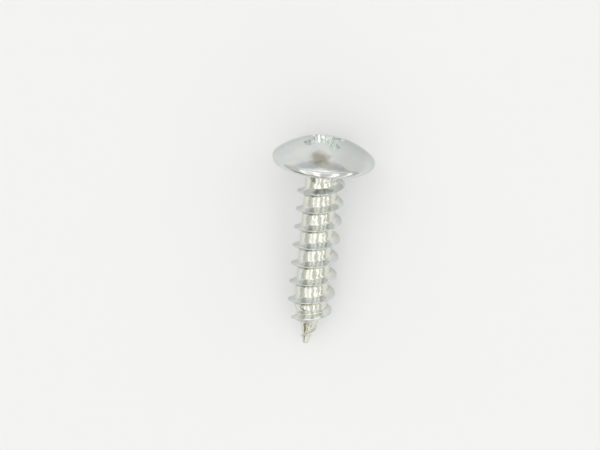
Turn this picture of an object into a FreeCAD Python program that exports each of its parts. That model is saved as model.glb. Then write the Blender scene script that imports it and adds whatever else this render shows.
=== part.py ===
import FreeCAD, Part
import math
import os

# A truss head tapping screw of steel wire: cold-headed, rolled to a coarse thread with a gimlet point, and
# plated. It is one solid. It is worked out upright, with its axis on Z, the underside of its head at z = 0
# and its point below, and is then laid on its side, as it comes to rest on a table.
# Lengths are in millimetres and angles in degrees. A turn round the axis is counted from +X towards +Y.

# Head: a low dome that runs into a rounded rim, over a flat bearing face
head_diameter = 8.95
head_height = 2.3
rim_rounding = 0.4

# Shank: a short plain neck that flares under the head, then the core of the thread
length_under_head = 16.6
neck_diameter = 3.1
neck_length = 0.9
neck_flare = 0.55
neck_taper = 0.6
core_diameter = 2.85

# Thread: one right-hand ridge with a narrow crest, which rises out of the neck
thread_diameter = 4.1
thread_pitch = 1.67
thread_flank_angle = 55.0
crest_width = 0.1
thread_start = 0.95
thread_rise = 0.8
thread_turn = 30.0

# Gimlet point: the core narrows to a blunt tip, and the crest curves in until the ridge sinks into the core
point_length = 3.5
tip_diameter = 0.4
crest_curve_length = 4.3
thread_end_gap = 0.4

# Cross recess: four wings round a flared middle, drafted so that the driver lets go
recess_mouth = 4.0
recess_floor_height = 0.3
recess_wall_angle = 26.5
recess_cone_angle = 28.0
wing_width = 0.75
wing_draft = 3.0
middle_width = 1.0
middle_flare = 12.0
recess_turn = -58.0

# The ridge's root lies this deep in the core, and its faded ends this far under the core's surface
root_depth = 0.12
buried_end = 0.06
points_per_turn = 14

# The side that the screw lies on, as a turn round its axis
table_side = 90.0

origin = FreeCAD.Vector(0, 0, 0)
up = FreeCAD.Vector(0, 0, 1)
right = FreeCAD.Vector(1, 0, 0)

# The circle that rounds the rim, the sphere of the dome that it touches, and the slope where they meet
rim_centre_radius = head_diameter / 2 - rim_rounding
dome_centre_height = ((head_height - rim_rounding) ** 2 - rim_centre_radius ** 2 - rim_rounding ** 2) / (
    2 * (head_height - 2 * rim_rounding)
)
dome_radius = head_height - dome_centre_height
dome_edge_angle = math.degrees(math.atan2(rim_rounding - dome_centre_height, rim_centre_radius))

# Where the core starts to narrow, where the crest starts to curve in, and where the ridge ends
point_start_height = point_length - length_under_head
crest_curve_height = crest_curve_length - length_under_head
thread_end_height = thread_end_gap - length_under_head


def at(radius, height, turn=0.0):
    """A point by its distance from the axis, its height and its turn round the axis."""
    angle = math.radians(turn)
    return FreeCAD.Vector(radius * math.cos(angle), radius * math.sin(angle), height)


def line(start, end):
    return Part.LineSegment(start, end).toShape()


def arc(centre, radius, first_angle, last_angle):
    """An arc in the section plane, with its angles measured up from the outward direction."""
    points = []
    for angle in (first_angle, (first_angle + last_angle) / 2, last_angle):
        slope = math.radians(angle)
        points.append(centre + FreeCAD.Vector(radius * math.cos(slope), 0, radius * math.sin(slope)))
    return Part.Arc(*points).toShape()


def flare(start, corner, end):
    """A curve that leaves its start and reaches its end in line with the corner between them."""
    curve = Part.BezierCurve()
    curve.setPoles([start, corner, end])
    return curve.toShape()


def turned(edges):
    """The solid that a closed section sweeps round the axis."""
    return Part.Face(Part.Wire(edges)).revolve(origin, up, 360)


def tapered_block(lower_halves, upper_halves, lower, upper):
    """A block round the axis, from its half width and half depth at its lower and its upper end."""
    outlines = []
    for (half_x, half_y), height in ((lower_halves, lower), (upper_halves, upper)):
        signs = ((-1, -1), (1, -1), (1, 1), (-1, 1), (-1, -1))
        outlines.append(Part.makePolygon([FreeCAD.Vector(x * half_x, y * half_y, height) for x, y in signs]))
    return Part.makeLoft(outlines, True, True)


def headed_blank():
    """The headed and pointed wire before its thread is rolled."""
    neck = neck_diameter / 2
    face_edge = at(rim_centre_radius, 0)
    flare_top = at(neck + neck_flare, 0)
    flare_bottom = at(neck, -neck_flare)
    neck_end = at(neck, -neck_length)
    core_start = at(core_diameter / 2, -neck_length - neck_taper)
    point_start = at(core_diameter / 2, point_start_height)
    tip_edge = at(tip_diameter / 2, -length_under_head)
    tip = at(0, -length_under_head)
    return turned([
        arc(at(0, dome_centre_height), dome_radius, 90, dome_edge_angle),
        arc(at(rim_centre_radius, rim_rounding), rim_rounding, dome_edge_angle, -90),
        line(face_edge, flare_top),
        flare(flare_top, at(neck, 0), flare_bottom),
        line(flare_bottom, neck_end),
        line(neck_end, core_start),
        line(core_start, point_start),
        line(point_start, tip_edge),
        line(tip_edge, tip),
        line(tip, at(0, head_height)),
    ])


def core_radius(height):
    """The radius of the headed blank's shank at a height below the head's flare."""
    neck = neck_diameter / 2
    core = core_diameter / 2
    if height > -neck_length:
        return neck
    if height > -neck_length - neck_taper:
        return neck + (core - neck) * (-neck_length - height) / neck_taper
    if height > point_start_height:
        return core
    return core + (tip_diameter / 2 - core) * (point_start_height - height) / point_length


def crest_radius(height):
    """The radius of the thread's crest, which rises from inside the neck and curves in over the point."""
    buried = core_radius(height) - buried_end
    end_radius = core_radius(thread_end_height) - buried_end
    along = min(max((crest_curve_height - height) / (crest_curve_height - thread_end_height), 0), 1)
    full = thread_diameter / 2 - (thread_diameter / 2 - end_radius) * along ** 2
    rise = min(max((-thread_start - height) / thread_rise, 0), 1)
    return buried + (full - buried) * rise * rise * (3 - 2 * rise)


def thread_ridge():
    """The thread's ridge: ruled strips between four helical rails, a set for each turn, and two flat ends."""
    length = -thread_start - thread_end_height
    steps = math.ceil(length / thread_pitch * points_per_turn)
    flank_slope = math.tan(math.radians(thread_flank_angle / 2))
    rails = [[], [], [], []]
    for step in range(steps + 1):
        height = -thread_start - length * step / steps
        turn = thread_turn + 360 * height / thread_pitch
        crest = crest_radius(height)
        root = core_radius(height) - min(root_depth, core_radius(height) / 2)
        half_root = crest_width / 2 + (crest - root) * flank_slope
        rails[0].append(at(root, height + half_root, turn))
        rails[1].append(at(crest, height + crest_width / 2, turn))
        rails[2].append(at(crest, height - crest_width / 2, turn))
        rails[3].append(at(root, height - half_root, turn))

    curves = []
    for rail in rails:
        curve = Part.BSplineCurve()
        curve.interpolate(Points=rail, Parameters=[float(step) for step in range(steps + 1)])
        curves.append(curve)

    faces = []
    for first in range(0, steps, points_per_turn):
        last = min(first + points_per_turn, steps)
        edges = [curve.toShape(first, last) for curve in curves]
        for edge, next_edge in zip(edges, edges[1:] + edges[:1]):
            faces.append(Part.makeRuledSurface(edge, next_edge, 1))
    for end in (0, steps):
        corners = [rail[end] for rail in rails]
        faces.append(Part.Face(Part.makePolygon(corners + corners[:1])))
    skin = Part.makeCompound(faces)
    skin.sewShape()
    return Part.Solid(skin)


def recess_punch():
    """What the heading punch leaves: two crossed blades and a flared square between them, kept inside the
    cone that the wings end on and over the shallow cone of the floor."""
    mouth = recess_mouth / 2
    mouth_height = dome_centre_height + math.sqrt(dome_radius ** 2 - mouth ** 2)
    wall_slope = math.tan(math.radians(recess_wall_angle))
    top = head_height + rim_rounding
    top_radius = mouth + (top - mouth_height) * wall_slope
    floor_radius = mouth - (mouth_height - recess_floor_height) * wall_slope
    bottom = recess_floor_height - floor_radius * math.tan(math.radians(recess_cone_angle))
    corners = [at(0, bottom), at(floor_radius, recess_floor_height), at(top_radius, top), at(0, top)]
    cones = turned([line(start, end) for start, end in zip(corners, corners[1:] + corners[:1])])

    blade_growth = (top - bottom) * math.tan(math.radians(wing_draft))
    wing = wing_width / 2
    blade = tapered_block((top_radius, wing), (top_radius, wing + blade_growth), bottom, top)
    crossing_blade = blade.rotated(origin, up, 90)
    middle = middle_width / 2
    flared = middle + (top - bottom) * math.tan(math.radians(middle_flare))
    square = tapered_block((middle, middle), (flared, flared), bottom, top).rotated(origin, up, 45)
    punch = blade.fuse([crossing_blade, square]).common(cones)
    return punch.rotated(origin, up, recess_turn)


def resting_tilt():
    """How far the axis leans when the rim and the lowest crest of the thread both touch the table."""
    tilts = []
    height = (table_side - thread_turn) / 360 * thread_pitch
    while height > thread_end_height:
        if height < -thread_start:
            across = rim_centre_radius - crest_radius(height)
            along = rim_rounding - height + crest_width / 2
            touching = math.atan2(across, along) + math.asin(rim_rounding / math.hypot(across, along))
            tilts.append(math.degrees(touching))
        height -= thread_pitch
    return min(tilts)


def laid_down(upright):
    """The screw on its side: head towards +Y, rim and thread on z = 0, centred over the origin."""
    tilt = resting_tilt()
    lean = math.radians(tilt)
    head_end = dome_centre_height * math.cos(lean) + dome_radius
    tip_end = -length_under_head * math.cos(lean) - tip_diameter / 2 * math.sin(lean)
    drop = rim_centre_radius * math.cos(lean) - rim_rounding * math.sin(lean) + rim_rounding
    lying = upright.rotated(origin, up, 90 - table_side).rotated(origin, right, tilt - 90)
    return lying.translated(FreeCAD.Vector(0, -(head_end + tip_end) / 2, drop))


def screw():
    threaded = headed_blank().fuse(thread_ridge())
    return laid_down(threaded.cut(recess_punch()).Solids[0])


os.makedirs("parts", exist_ok=True)
screw().exportStep("parts/screw.step")
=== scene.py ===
import math

import bmesh
import bpy
from mathutils import Matrix, Vector


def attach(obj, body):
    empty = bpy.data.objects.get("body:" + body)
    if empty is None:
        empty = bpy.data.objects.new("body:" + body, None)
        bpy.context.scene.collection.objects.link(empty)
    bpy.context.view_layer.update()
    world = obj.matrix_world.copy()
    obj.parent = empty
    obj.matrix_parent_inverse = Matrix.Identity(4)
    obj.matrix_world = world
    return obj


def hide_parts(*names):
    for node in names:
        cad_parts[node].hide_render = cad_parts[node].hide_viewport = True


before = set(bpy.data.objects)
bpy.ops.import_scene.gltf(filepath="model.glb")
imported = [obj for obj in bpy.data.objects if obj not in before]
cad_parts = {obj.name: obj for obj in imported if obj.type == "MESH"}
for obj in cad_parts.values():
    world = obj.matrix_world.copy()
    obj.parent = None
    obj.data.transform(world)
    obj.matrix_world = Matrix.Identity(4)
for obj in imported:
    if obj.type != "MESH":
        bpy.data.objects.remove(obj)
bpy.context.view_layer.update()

# Head
# The head is upset on the end of a steel wire: a low dome with a rounded rim over a flat bearing face. One
# eighth of it is shaped here, from the middle of a recess wing to the flat between two wings, with its axis
# on Z and the bearing face at z = 0. Lengths are in millimetres until the screw is laid down.
head_radius = 4.475
head_height = 2.3
rim_rounding = 0.4
neck_radius = 1.55
neck_flare = 0.55
neck_cut = -0.8
rim_centre = head_radius - rim_rounding
dome_centre = ((head_height - rim_rounding) ** 2 - rim_centre ** 2 - rim_rounding ** 2) / (
    2 * (head_height - 2 * rim_rounding)
)
dome_radius = head_height - dome_centre
dome_edge = math.atan2(rim_rounding - dome_centre, rim_centre)

# Rings along the head's section. Across the face and over the dome they are shares of the way, and lie closer
# beside the rounded edges. The last full circle on the dome stays outside the recess.
flare_steps = 8
face_rings = (0.02, 0.2, 0.5, 0.8, 0.96, 1)
rim_steps = 20
dome_rings = (0.045, 0.15, 0.3, 0.475, 0.65, 0.825, 1)
last_circle = 2.9

# Steps along an eighth of the recess: round a wing's end and its corner, along its side, round the corner
# beside the flat, and along half the flat. Every ring of the head has as many.
end_steps = 6
corner_steps = 5
side_steps = 6
inner_steps = 4
flat_steps = 3
ring_steps = end_steps + corner_steps + side_steps + inner_steps + flat_steps
eighth = math.radians(45)


def on_circle(radius, height):
    """An eighth of a circle round the axis."""
    turns = [eighth * step / ring_steps for step in range(ring_steps + 1)]
    return [Vector((radius * math.cos(turn), radius * math.sin(turn), height)) for turn in turns]


def dome_height(radius):
    """The dome's height at a distance from the axis."""
    return dome_centre + math.sqrt(dome_radius ** 2 - radius ** 2)


def grow(ring, points):
    """Draws the open edge of the head's sheet out to a new ring of points."""
    edges = [head.edges.get(pair) for pair in zip(ring, ring[1:])]
    made = bmesh.ops.extrude_edge_only(head, edges=edges)["geom"]
    drawn = [item for item in made if isinstance(item, bmesh.types.BMVert)]
    order = {tuple(vert.co): index for index, vert in enumerate(ring)}
    drawn.sort(key=lambda vert: order[tuple(vert.co)])
    for vert, point in zip(drawn, points):
        vert.co = point
    return drawn


head = bmesh.new()
ring = [head.verts.new(point) for point in on_circle(neck_radius, neck_cut)]
for pair in zip(ring, ring[1:]):
    head.edges.new(pair)
ring = grow(ring, on_circle(neck_radius, -neck_flare))
for step in range(1, flare_steps + 1):
    share = step / flare_steps
    ring = grow(ring, on_circle(neck_radius + neck_flare * share ** 2, -neck_flare * (1 - share) ** 2))
flare_edge = neck_radius + neck_flare
for share in face_rings:
    ring = grow(ring, on_circle(flare_edge + (rim_centre - flare_edge) * share, 0))
for step in range(1, rim_steps + 1):
    slope = -math.pi / 2 + (dome_edge + math.pi / 2) * step / rim_steps
    radius = rim_centre + rim_rounding * math.cos(slope)
    ring = grow(ring, on_circle(radius, rim_rounding + rim_rounding * math.sin(slope)))
rim_edge = rim_centre + rim_rounding * math.cos(dome_edge)
for share in dome_rings:
    radius = rim_edge + (last_circle - rim_edge) * share
    ring = grow(ring, on_circle(radius, dome_height(radius)))

# Cross recess
# A hardened punch presses the recess into the dome: four wings that narrow as they go down, with the flared
# flats of the driver's middle between them and a shallow cone as its floor. The lip is left slightly rounded.
mouth_radius = 2.0
wall_slope = math.tan(math.radians(26.5))
floor_height = 0.3
floor_slope = math.tan(math.radians(28))
wing_half_width = 0.375
wing_draft = math.tan(math.radians(3))
middle_half_width = 0.5
middle_flare = math.tan(math.radians(12))
wing_corner = 0.14
inner_corner = 0.2
lip_rounding = 0.05
lip_steps = 3
crease_angle = math.radians(35)
recess_turn = math.radians(-58)
mouth_height = dome_height(mouth_radius)
floor_radius = mouth_radius - (mouth_height - floor_height) * wall_slope
recess_bottom = floor_height - floor_radius * floor_slope

# Rings from the last circle to the mouth, down the wall and in over the floor, as shares of each way
mouth_rings = (0.15, 0.32, 0.5, 0.66, 0.8, 0.9, 0.96, 1)
wall_rings = (0.04, 0.1, 0.22, 0.38, 0.54, 0.7, 0.82, 0.91, 0.96, 1)
floor_rings = (0.04, 0.12, 0.3, 0.5, 0.7, 0.85, 0.95, 1)
settling_rounds = 12
plane_tolerance = 1e-5
weld_distance = 1e-4


def bow(centre, radius, first, last, steps):
    """Points along an arc, without its last one."""
    turns = [first + (last - first) * step / steps for step in range(steps)]
    return [centre + radius * Vector((math.cos(turn), math.sin(turn))) for turn in turns]


def run(start, end, steps):
    """Points along a straight line, without its last one."""
    return [start.lerp(end, step / steps) for step in range(steps)]


def outline(height):
    """An eighth of the recess at a height, from the middle of a wing's end to the middle of a flat."""
    reach = mouth_radius - (mouth_height - height) * wall_slope
    wing = wing_half_width + (height - recess_bottom) * wing_draft
    middle = middle_half_width + (height - recess_bottom) * middle_flare
    corner_across = wing - wing_corner
    corner_centre = Vector((math.sqrt((reach - wing_corner) ** 2 - corner_across ** 2), corner_across))
    corner_start = math.atan2(corner_centre.y, corner_centre.x)
    side_start = Vector((corner_centre.x, wing))
    inner = middle * math.sqrt(2) - wing
    inner_reach = inner_corner * math.tan(eighth / 2)
    side_end = Vector((inner + inner_reach, wing))
    inner_centre = Vector((side_end.x, wing + inner_corner))
    flat_start = Vector((inner - inner_reach * math.cos(eighth), wing + inner_reach * math.sin(eighth)))
    flat_end = Vector((middle * math.cos(eighth), middle * math.sin(eighth)))
    return [
        *bow(Vector((0, 0)), reach, 0, corner_start, end_steps),
        *bow(corner_centre, wing_corner, corner_start, math.pi / 2, corner_steps),
        *run(side_start, side_end, side_steps),
        *bow(inner_centre, inner_corner, -math.pi / 2, -math.pi / 2 - eighth, inner_steps),
        *run(flat_start, flat_end, flat_steps),
        flat_end,
    ]


def floor_surface(radius):
    """The floor's height at a distance from the axis."""
    return recess_bottom + radius * floor_slope


def where_it_meets(surface):
    """The recess outline on a surface, whose height is given by the distance from the axis. Each point's
    height and the outline at that height are worked out in turn until they agree."""
    points = []
    for index in range(ring_steps + 1):
        height = floor_height
        for _ in range(settling_rounds):
            point = outline(height)[index]
            height = surface(point.length)
        points.append(Vector((*point, height)))
    return points


def all_of(mesh):
    return mesh.verts[:] + mesh.edges[:] + mesh.faces[:]


mouth = where_it_meets(dome_height)
wall_foot = where_it_meets(floor_surface)
circle = on_circle(last_circle, 0)
for share in mouth_rings:
    plan = [outer.to_2d().lerp(inner.to_2d(), share) for outer, inner in zip(circle, mouth)]
    ring = grow(ring, [Vector((*point, dome_height(point.length))) for point in plan])
for share in wall_rings:
    heights = [top.z + (bottom.z - top.z) * share for top, bottom in zip(mouth, wall_foot)]
    ring = grow(ring, [Vector((*outline(height)[index], height)) for index, height in enumerate(heights)])
for share in floor_rings:
    shrunk = [point.to_2d() * (1 - share) for point in wall_foot]
    rounded = [point.to_2d() for point in on_circle(floor_radius / 2 * (1 - share), 0)]
    plan = [start.lerp(end, math.sqrt(share)) for start, end in zip(shrunk, rounded)]
    ring = grow(ring, [Vector((*point, floor_surface(point.length))) for point in plan])

bmesh.ops.mirror(head, geom=all_of(head), axis="Y", merge_dist=plane_tolerance)
bmesh.ops.spin(
    head, geom=all_of(head), cent=(0, 0, 0), axis=(0, 0, 1), angle=math.radians(270), steps=3,
    use_duplicate=True,
)
bmesh.ops.remove_doubles(head, verts=head.verts[:], dist=weld_distance)
bmesh.ops.recalc_face_normals(head, faces=head.faces[:])
inner_edges = [edge for edge in head.edges if len(edge.link_faces) == 2]
bmesh.ops.bevel(
    head, geom=[edge for edge in inner_edges if edge.calc_face_angle() > crease_angle], offset=lip_rounding,
    offset_type="OFFSET", affect="EDGES", segments=lip_steps, profile=0.5, material=-1, clamp_overlap=True,
)
bmesh.ops.rotate(head, verts=head.verts[:], cent=(0, 0, 0), matrix=Matrix.Rotation(recess_turn, 3, "Z"))

# Threaded shank
# The shank is rolled between flat dies, which raise one right-hand ridge out of the wire and squeeze its end
# to a gimlet point. One turn of the full thread is spun and copied down the shank, then reduced at both ends.
shank_length = 16.6
neck_end = -1.1
neck_taper = 0.15
core_radius = 1.425
thread_radius = 2.05
pitch = 1.67
flank_slope = math.tan(math.radians(27.5))
crest_half_width = 0.03
crest_round = 0.035
root_round = 0.14
thread_start = -0.95
thread_rise = 0.8
thread_turn = math.radians(30)

# The point is a little hollow and is bent slightly to one side. Its blunt tip is rounded by rings, each with
# its radius and its height above the tip.
point_length = 3.5
point_hollow = 1.4
tip_radius = 0.25
tip_cut = 0.15
tip_rings = ((0.248, 0.08), (0.23, 0.035), (0.19, 0.008), (0.13, 0), (0.05, 0))
bent_length = 3.5
bent_aside = 0.16
bend_curve = 1.5

# Over the point the crest curves in, sinks to a low ridge and runs out. These are heights above the tip,
# apart from the last three: the crest's radius where it would end, the low ridge's height, and how deep in
# the core the ridge begins.
crest_curve_start = 4.3
crest_curve_end = 0.4
low_from = 2.2
low_to = 1.5
run_out_start = 0.57
run_out_end = 0.22
crest_end_radius = 0.28
low_ridge = 0.2
buried = 0.06

# Steps round the crest and the fillet, along the root and in a turn of the helix
crest_steps = 3
fillet_steps = 5
root_steps = 3
steps_per_turn = 96
full_depth = thread_radius - core_radius
flank_tilt = math.atan(1 / flank_slope)
flank_foot = crest_half_width + full_depth * flank_slope + root_round * math.tan(flank_tilt / 2)


def half_section():
    """Half a pitch of the thread's section, from its crest to its root, as (along the axis, out from it)."""
    points = [Vector((0, thread_radius))]
    for step in range(crest_steps + 1):
        turn = flank_tilt * step / crest_steps
        along = crest_half_width - crest_round * (math.tan(flank_tilt / 2) - math.sin(turn))
        points.append(Vector((along, thread_radius - crest_round * (1 - math.cos(turn)))))
    fillet = []
    for step in range(fillet_steps + 1):
        turn = flank_tilt * (1 - step / fillet_steps)
        along = flank_foot - root_round * math.sin(turn)
        fillet.append(Vector((along, core_radius + root_round * (1 - math.cos(turn)))))
    points += [points[-1].lerp(fillet[0], share) for share in (1 / 3, 2 / 3)]
    points += fillet
    root = Vector((pitch / 2, core_radius))
    points += [fillet[-1].lerp(root, step / root_steps) for step in range(1, root_steps + 1)]
    return points


def clamped(share):
    return min(max(share, 0), 1)


def eased(share):
    """A share kept between none and whole, with a soft start and end."""
    share = clamped(share)
    return share * share * (3 - 2 * share)


def blank_radius(height):
    """The shank's radius before the thread is rolled."""
    if height > neck_end - neck_taper:
        return neck_radius + (core_radius - neck_radius) * clamped((neck_end - height) / neck_taper)
    widened = clamped((height + shank_length) / point_length) ** point_hollow
    return tip_radius + (core_radius - tip_radius) * widened


def ridge_depth(height):
    """How far the ridge stands out of the blank: it rises out of the neck, curves in over the point and runs
    on low until just above the tip."""
    above_tip = height + shank_length
    along = clamped((crest_curve_start - above_tip) / (crest_curve_start - crest_curve_end))
    curved_in = thread_radius - (thread_radius - crest_end_radius) * along ** 2
    low = blank_radius(height) + low_ridge
    crest = low + (curved_in - low) * eased((above_tip - low_to) / (low_from - low_to))
    rise = eased((thread_start - height) / thread_rise)
    run_out = eased((above_tip - run_out_end) / (run_out_start - run_out_end))
    return max((crest - blank_radius(height) + buried) * rise * run_out - buried, 0)


def reduced(point):
    """Where a point of the full thread lies once its ridge has the depth that it has at that height."""
    turn = math.atan2(point.y, point.x)
    phase = (turn - thread_turn) / (2 * math.pi) * pitch
    crest_height = phase + round((point.z - phase) / pitch) * pitch
    share = ridge_depth(crest_height) / full_depth
    foot = crest_half_width + (flank_foot - crest_half_width) * share
    reach = abs(point.z - crest_height)
    if reach > flank_foot:
        reach = foot + (reach - flank_foot) * (pitch / 2 - foot) / (pitch / 2 - flank_foot)
    elif reach > crest_half_width:
        reach = crest_half_width + (reach - crest_half_width) * share
    height = crest_height + math.copysign(reach, point.z - crest_height)
    radius = blank_radius(height) + (point.to_2d().length - core_radius) * share
    return Vector((radius * math.cos(turn), radius * math.sin(turn), height))


# The section starts in line with a wing of the recess, where the head's rings start too
half = half_section()
section = [Vector((-point.x, point.y)) for point in reversed(half[1:])] + half
crest_below_face = (recess_turn - thread_turn) / (2 * math.pi) * pitch
first_crest = crest_below_face + math.ceil((neck_cut + pitch - crest_below_face) / pitch) * pitch
turn_count = math.ceil((first_crest + shank_length) / pitch) + 1
shank = bmesh.new()
profile = []
for along, out in section:
    start = (out * math.cos(recess_turn), out * math.sin(recess_turn), first_crest + along)
    profile.append(shank.verts.new(start))
profile_edges = [shank.edges.new(pair) for pair in zip(profile, profile[1:])]
bmesh.ops.spin(
    shank, geom=profile + profile_edges, cent=(0, 0, 0), axis=(0, 0, 1), dvec=(0, 0, -pitch / steps_per_turn),
    angle=-2 * math.pi, steps=steps_per_turn, use_duplicate=False,
)
first_turn = all_of(shank)
for index in range(1, turn_count):
    copied = bmesh.ops.duplicate(shank, geom=first_turn)["geom"]
    copied_verts = [item for item in copied if isinstance(item, bmesh.types.BMVert)]
    bmesh.ops.translate(shank, verts=copied_verts, vec=(0, 0, -pitch * index))
bmesh.ops.remove_doubles(shank, verts=shank.verts[:], dist=weld_distance)
for vert in shank.verts:
    vert.co = reduced(vert.co)
for cut, outward in ((neck_cut, 1), (tip_cut - shank_length, -1)):
    bmesh.ops.bisect_plane(
        shank, geom=all_of(shank), dist=plane_tolerance, plane_co=(0, 0, cut), plane_no=(0, 0, outward),
        clear_outer=True, clear_inner=False,
    )
bmesh.ops.remove_doubles(shank, verts=shank.verts[:], dist=weld_distance)

# The blunt tip is rounded over and closed, and then the point is bent
open_edges = [edge for edge in shank.edges if edge.is_boundary]
edges = [edge for edge in open_edges if edge.verts[0].co.z < -shank_length / 2]
for radius, above_tip in tip_rings:
    made = bmesh.ops.extrude_edge_only(shank, edges=edges)["geom"]
    edges = [item for item in made if isinstance(item, bmesh.types.BMEdge)]
    for vert in [item for item in made if isinstance(item, bmesh.types.BMVert)]:
        turn = math.atan2(vert.co.y, vert.co.x)
        vert.co = (radius * math.cos(turn), radius * math.sin(turn), above_tip - shank_length)
bmesh.ops.contextual_create(shank, geom=edges)
for vert in shank.verts:
    vert.co.x -= bent_aside * clamped(1 - (vert.co.z + shank_length) / bent_length) ** bend_curve

# The whole screw
# Head and shank are one piece of wire, so their meshes are joined at the neck. The screw lies on its side: it
# touches the table with its rim and with the edge of the lowest crest, as it came to rest.
table_side = math.radians(90)
touching_crest = 8
millimetre = 0.001

# The solid that this mesh stands for has a flat crest of this half width, and a flat tip of this radius
crest_edge = 0.05
flat_tip_radius = 0.2
shank_mesh = bpy.data.meshes.new("shank")
shank.to_mesh(shank_mesh)
shank.free()
head.from_mesh(shank_mesh)
bpy.data.meshes.remove(shank_mesh)
bmesh.ops.bridge_loops(head, edges=[edge for edge in head.edges if edge.is_boundary])
bmesh.ops.recalc_face_normals(head, faces=head.faces[:])
for face in head.faces:
    face.smooth = True

touching_height = ((table_side - thread_turn) / (2 * math.pi) - touching_crest) * pitch
touching_radius = blank_radius(touching_height) + ridge_depth(touching_height)
gap_across = rim_centre - touching_radius
gap_along = rim_rounding - touching_height + crest_edge
lean = math.atan2(gap_across, gap_along) + math.asin(rim_rounding / math.hypot(gap_across, gap_along))
head_end = dome_centre * math.cos(lean) + dome_radius
tip_end = -shank_length * math.cos(lean) - flat_tip_radius * math.sin(lean)
drop = rim_centre * math.cos(lean) - rim_rounding * math.sin(lean) + rim_rounding
lying = (
    Matrix.Scale(millimetre, 4)
    @ Matrix.Translation((0, -(head_end + tip_end) / 2, drop))
    @ Matrix.Rotation(lean - math.pi / 2, 4, "X")
)
bmesh.ops.transform(head, matrix=lying, verts=head.verts[:])
screw_mesh = bpy.data.meshes.new("truss_head_screw")
head.to_mesh(screw_mesh)
head.free()
screw = bpy.data.objects.new("truss_head_screw", screw_mesh)
bpy.context.scene.collection.objects.link(screw)
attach(screw, "root")
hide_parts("screw")

# Zinc plate
# The zinc is bright, with a faint mottle of grey and olive. It is yellower along the core, where the dies
# left it uneven. The recess is painted whiter to lift its shade, one side of the dome has a painted darker
# reflection in grey, and the dome has one faint painted reflection in brown.
# Every pattern follows the screw's axis and is measured in millimetres.
zinc_grey = (0.7, 0.735, 0.735)
zinc_olive = (0.775, 0.78, 0.745)
zinc_edge = (0.81, 0.82, 0.8)
# A painted darker reflection in grey, on one side of the dome
painted_reflection_grey = (0.6, 0.625, 0.6)
core_yellow = (0.82, 0.82, 0.74)
# Painted light: a whiter colour that lifts the shade in the recess
recess_painted_light = (0.925, 0.957, 0.938)
# A painted reflection in brown, on the dome
painted_reflection_brown = (0.42, 0.4, 0.335)
tint_strength = 0.8
recess_middle = (0, 0, 1.6)
# Middle and raggedness of the painted brown reflection on the dome
painted_reflection_middle = (-0.2, -3.1, 1.53)
painted_reflection_raggedness = 1.1
smoothest = 0.1
roughest = 0.22

# The depths of the surface's strokes, dents and grain, in hundredths of a millimetre, and then how far the
# strokes lean from the axis and how much longer than wide they are
stroke_depth = 4.2
dent_depth = 0.7
grain_depth = 0.06
stroke_slant = math.radians(25)
stroke_stretch = 2.2

zinc = bpy.data.materials.new("zinc_plate")
zinc.use_nodes = True
nodes = zinc.node_tree.nodes
links = zinc.node_tree.links
zinc_shader = nodes["Principled BSDF"]
zinc_shader.inputs["Metallic"].default_value = 1.0
zinc_shader.inputs["Specular Tint"].default_value = (*zinc_edge, 1)
place = nodes.new("ShaderNodeTexCoord")
upright = nodes.new("ShaderNodeMapping")
upright.vector_type = "TEXTURE"
upright.inputs["Location"].default_value = lying.to_translation()
upright.inputs["Rotation"].default_value = (lean - math.pi / 2, 0, 0)
upright.inputs["Scale"].default_value = (millimetre, millimetre, millimetre)
links.new(place.outputs["Object"], upright.inputs["Vector"])
slanted = nodes.new("ShaderNodeMapping")
slanted.vector_type = "TEXTURE"
slanted.inputs["Rotation"].default_value = (0, stroke_slant, 0)
slanted.inputs["Scale"].default_value = (1, 1, stroke_stretch)
links.new(upright.outputs["Vector"], slanted.inputs["Vector"])


def spread(source, from_low, from_high, to_low=0.0, to_high=1.0):
    """A smooth change from one value to another over a range of the source."""
    node = nodes.new("ShaderNodeMapRange")
    node.interpolation_type = "SMOOTHSTEP"
    limits = {"From Min": from_low, "From Max": from_high, "To Min": to_low, "To Max": to_high}
    for name, value in limits.items():
        node.inputs[name].default_value = value
    links.new(source, node.inputs["Value"])
    return node.outputs["Result"]


def noise(scale, detail, over=upright):
    """Noise over the metal, with so many waves to a millimetre."""
    node = nodes.new("ShaderNodeTexNoise")
    node.inputs["Scale"].default_value = scale
    node.inputs["Detail"].default_value = detail
    links.new(over.outputs["Vector"], node.inputs["Vector"])
    return node.outputs["Fac"]


def worked(operation, first, second):
    """Arithmetic on two values, of which the second may be a plain number."""
    node = nodes.new("ShaderNodeMath")
    node.operation = operation
    links.new(first, node.inputs[0])
    if isinstance(second, (int, float)):
        node.inputs[1].default_value = second
    else:
        links.new(second, node.inputs[1])
    return node.outputs["Value"]


def tinted(share, under, over):
    """One colour laid over another by a share."""
    node = nodes.new("ShaderNodeMix")
    node.data_type = "RGBA"
    links.new(share, node.inputs["Factor"])
    for name, colour in (("A", under), ("B", over)):
        if isinstance(colour, tuple):
            node.inputs[name].default_value = (*colour, 1)
        else:
            links.new(colour, node.inputs[name])
    return node.outputs["Result"]


def distance_from(point):
    node = nodes.new("ShaderNodeVectorMath")
    node.operation = "DISTANCE"
    links.new(upright.outputs["Vector"], node.inputs[0])
    node.inputs[1].default_value = point
    return node.outputs["Value"]


# How far a point lies from the axis and along it
squashed = nodes.new("ShaderNodeVectorMath")
squashed.operation = "MULTIPLY"
squashed.inputs[1].default_value = (1, 1, 0)
links.new(upright.outputs["Vector"], squashed.inputs[0])
from_axis = nodes.new("ShaderNodeVectorMath")
from_axis.operation = "LENGTH"
links.new(squashed.outputs["Vector"], from_axis.inputs[0])
along_axis = nodes.new("ShaderNodeSeparateXYZ")
links.new(upright.outputs["Vector"], along_axis.inputs["Vector"])
aside = along_axis.outputs["X"]
above_face = along_axis.outputs["Z"]
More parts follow.
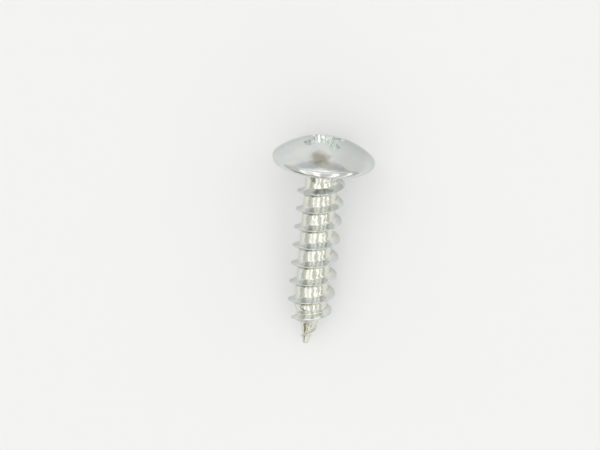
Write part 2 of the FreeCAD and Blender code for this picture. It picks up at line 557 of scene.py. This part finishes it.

# The places that differ: the core, the recess, the side of the dome with a painted darker reflection, and a
# painted brown reflection with its ragged edge
near_core = spread(from_axis.outputs["Value"], core_radius + 0.325, core_radius + 0.025)
on_core = worked("MULTIPLY", near_core, spread(above_face, 0.1, -0.3))
under_dome = spread(distance_from((0, 0, dome_centre)), dome_radius - 0.05, dome_radius - 0.3)
in_recess = worked("MULTIPLY", under_dome, spread(distance_from(recess_middle), 2.4, 2.1))
# Where one side of the dome is painted darker, as a painted reflection
one_side = worked("MULTIPLY", spread(aside, 0.4, 2.2), spread(aside, 4.3, 3.3))
painted_reflection_side = worked("MULTIPLY", one_side, spread(above_face, 0.3, 0.8))
# A painted brown reflection on the dome, with a ragged edge
ragged = worked("ADD", distance_from(painted_reflection_middle), worked("MULTIPLY", noise(1.3, 4), painted_reflection_raggedness))
painted_reflection_patch = spread(ragged, 1.75, 0.75)

metal = tinted(spread(noise(0.9, 3), 0.35, 0.65), zinc_grey, zinc_olive)
# The painted darker reflection on one side of the dome
metal = tinted(worked("MULTIPLY", painted_reflection_side, tint_strength), metal, painted_reflection_grey)
metal = tinted(worked("MULTIPLY", on_core, tint_strength), metal, core_yellow)
# Painted light that lifts the shade in the recess
metal = tinted(in_recess, metal, recess_painted_light)
# The painted brown reflection on the dome
metal = tinted(painted_reflection_patch, metal, painted_reflection_brown)
links.new(metal, zinc_shader.inputs["Base Color"])
links.new(spread(noise(1.7, 4), 0.3, 0.7, smoothest, roughest), zinc_shader.inputs["Roughness"])

# The dies leave slanting strokes along the core, and the whole surface is a little dented and grainy
strokes = worked("MULTIPLY", noise(2.6, 2, slanted), worked("MULTIPLY", on_core, stroke_depth))
dents = worked("MULTIPLY", noise(2.4, 2), dent_depth)
surface_grain = worked("MULTIPLY", noise(9, 2), grain_depth)
unevenness = worked("ADD", worked("ADD", strokes, dents), surface_grain)
bump = nodes.new("ShaderNodeBump")
bump.inputs["Strength"].default_value = 1.0
bump.inputs["Distance"].default_value = millimetre / 100
links.new(unevenness, bump.inputs["Height"])
links.new(bump.outputs["Normal"], zinc_shader.inputs["Normal"])
screw_mesh.materials.append(zinc)

# Table
# A plain pale sheet, and no part of the screw. What the camera and the metal see of it is lifted a little
# towards white, so that its shadows stay light.
table_half_width = 3.0
table_colour = (0.92, 0.92, 0.93)
glow_colour = (0.98, 0.98, 0.98)
glow_share = 0.22
table_sheet = bmesh.new()
bmesh.ops.create_grid(table_sheet, x_segments=1, y_segments=1, size=table_half_width)
table_mesh = bpy.data.meshes.new("table")
table_sheet.to_mesh(table_mesh)
table_sheet.free()
table = bpy.data.objects.new("table", table_mesh)
bpy.context.scene.collection.objects.link(table)
pale = bpy.data.materials.new("pale_table")
pale.use_nodes = True
table_nodes = pale.node_tree.nodes
table_links = pale.node_tree.links
table_shader = table_nodes["Principled BSDF"]
table_shader.inputs["Base Color"].default_value = (*table_colour, 1)
table_shader.inputs["Roughness"].default_value = 0.9
table_shader.inputs["Specular IOR Level"].default_value = 0.1
light_path = table_nodes.new("ShaderNodeLightPath")
seen = table_nodes.new("ShaderNodeMath")
seen.operation = "MAXIMUM"
table_links.new(light_path.outputs["Is Camera Ray"], seen.inputs[0])
table_links.new(light_path.outputs["Is Glossy Ray"], seen.inputs[1])
glowing = table_nodes.new("ShaderNodeMath")
glowing.operation = "MULTIPLY"
glowing.inputs[1].default_value = glow_share
table_links.new(seen.outputs["Value"], glowing.inputs[0])
glow = table_nodes.new("ShaderNodeEmission")
glow.inputs["Color"].default_value = (*glow_colour, 1)
lifted = table_nodes.new("ShaderNodeMixShader")
table_links.new(glowing.outputs["Value"], lifted.inputs["Fac"])
table_links.new(table_shader.outputs["BSDF"], lifted.inputs[1])
table_links.new(glow.outputs["Emission"], lifted.inputs[2])
table_links.new(lifted.outputs["Shader"], table_nodes["Material Output"].inputs["Surface"])
table_mesh.materials.append(pale)

# Lamps
# Long soft strips lie over the screw, along its shank, and draw the bright lines on its core. A weaker lamp
# between them, one overhead and one low behind the head light the dome.
strip_length = 7.5
strip_distance = 1.5
strip_shift = -2.8
strip_colour = (1.0, 0.995, 0.93)


def lamp(name, lean_x, lean_y, distance, size_x, size_y, radiance, colour, shift=0.0):
    """A soft rectangular lamp that leans from overhead towards +X and then +Y, and faces the screw."""
    light = bpy.data.lights.new(name, "AREA")
    light.shape = "RECTANGLE"
    light.size = size_x
    light.size_y = size_y
    light.energy = radiance * size_x * size_y * math.pi
    light.color = colour
    lamp_object = bpy.data.objects.new(name, light)
    turn = Matrix.Rotation(math.radians(lean_x), 4, "Y") @ Matrix.Rotation(math.radians(-lean_y), 4, "X")
    lamp_object.matrix_world = turn @ Matrix.Translation((0, shift, distance))
    bpy.context.scene.collection.objects.link(lamp_object)


for name, lean_x, width, radiance in (
    ("strip_a", -41, 0.38, 0.62),
    ("strip_b", -10, 0.42, 0.75),
    ("strip_c", 33, 0.46, 0.75),
    ("strip_d", 65, 0.3, 0.75),
):
    lamp(name, lean_x, 0, strip_distance, width, strip_length, radiance, strip_colour, strip_shift)
lamp("between", -26, 0, 1.9, 0.5, 2.4, 0.22, (1.0, 1.0, 0.99))
lamp("overhead", 0, 30, 1.7, 2.0, 0.8, 0.3, (0.97, 0.99, 1.0))
lamp("behind_head", 3, 68, 1.6, 2.4, 0.3, 0.65, (0.93, 0.98, 1.0))

# Room
# What the metal mirrors beyond the table and the lamps: pale walls, greyer towards +X and darker low down,
# with an olive part low behind the point. Low behind the head they are pale again, with a grey patch and a
# brownish one.
wall_pale = (0.68, 0.68, 0.67)
wall_grey = (0.65, 0.66, 0.65)
wall_low = (0.56, 0.565, 0.54)
behind_point = (0.28, 0.28, 0.21)
behind_head = (0.66, 0.665, 0.655)
patch_grey = (0.58, 0.585, 0.59)
patch_brown = (0.58, 0.57, 0.51)
world = bpy.data.worlds.new("room")
world.use_nodes = True
bpy.context.scene.world = world
room_nodes = world.node_tree.nodes
room_links = world.node_tree.links
direction = room_nodes.new("ShaderNodeTexCoord")
direction_parts = room_nodes.new("ShaderNodeSeparateXYZ")
room_links.new(direction.outputs["Generated"], direction_parts.inputs["Vector"])


def band(axis, first, last):
    """How far a direction has gone from one limit to another, as a smooth share."""
    node = room_nodes.new("ShaderNodeMapRange")
    node.interpolation_type = "SMOOTHSTEP"
    node.inputs["From Min"].default_value = first
    node.inputs["From Max"].default_value = last
    room_links.new(direction_parts.outputs[axis], node.inputs["Value"])
    return node.outputs["Result"]


def over_room(under, colour, *shares):
    """A part of the room in another colour, where all its shares are whole."""
    share = shares[0]
    for other in shares[1:]:
        both = room_nodes.new("ShaderNodeMath")
        both.operation = "MULTIPLY"
        room_links.new(share, both.inputs[0])
        room_links.new(other, both.inputs[1])
        share = both.outputs["Value"]
    node = room_nodes.new("ShaderNodeMix")
    node.data_type = "RGBA"
    room_links.new(share, node.inputs["Factor"])
    node.inputs["B"].default_value = (*colour, 1)
    if isinstance(under, tuple):
        node.inputs["A"].default_value = (*under, 1)
    else:
        room_links.new(under, node.inputs["A"])
    return node.outputs["Result"]


walls = over_room(wall_pale, wall_grey, band("X", 0.1, 0.7))
walls = over_room(walls, wall_low, band("Z", 0.42, 0.22))
walls = over_room(walls, behind_point, band("Y", -0.45, -0.7), band("Z", 0.6, 0.35), band("X", 0.4, 0.0))
walls = over_room(walls, behind_head, band("Y", 0.05, 0.35), band("Z", 0.45, 0.35))
walls = over_room(
    walls, patch_grey,
    band("Y", 0.75, 0.85), band("Z", 0.27, 0.2), band("X", -0.46, -0.34), band("X", 0.52, 0.42),
)
walls = over_room(
    walls, patch_brown,
    band("Y", 0.8, 0.9), band("Z", 0.25, 0.19), band("X", -0.22, -0.1), band("X", 0.28, 0.16),
)
room_links.new(walls, room_nodes["Background"].inputs["Color"])

# Camera
# A long lens looks down on the screw, from a little towards its head and a little towards +X. The picture is
# turned so that the shank runs down it with the point slightly to the left.
picture_turn = math.radians(5.65)
toward_head = math.sin(math.radians(8))
toward_side = math.sin(math.radians(3.8))
camera_distance = 0.7011
looked_at = Vector((-0.0017147, 0.0007785, 0))
picture_right = Vector((math.cos(picture_turn), math.sin(picture_turn), 0))
picture_up = Vector((-math.sin(picture_turn), math.cos(picture_turn), 0))
steepness = math.sqrt(1 - toward_head ** 2 - toward_side ** 2)
camera_back = Vector((0, 0, steepness)) + picture_up * toward_head + picture_right * toward_side
camera_right = picture_up.cross(camera_back).normalized()
camera_up = camera_back.cross(camera_right)
camera_data = bpy.data.cameras.new("camera")
camera_data.lens = 480
camera_data.sensor_width = 36
camera = bpy.data.objects.new("camera", camera_data)
camera_turned = Matrix((camera_right, camera_up, camera_back)).transposed().to_4x4()
camera.matrix_world = Matrix.Translation(looked_at + camera_back * camera_distance) @ camera_turned
bpy.context.scene.collection.objects.link(camera)
bpy.context.scene.camera = camera
bpy.context.scene.view_settings.view_transform = "Standard"
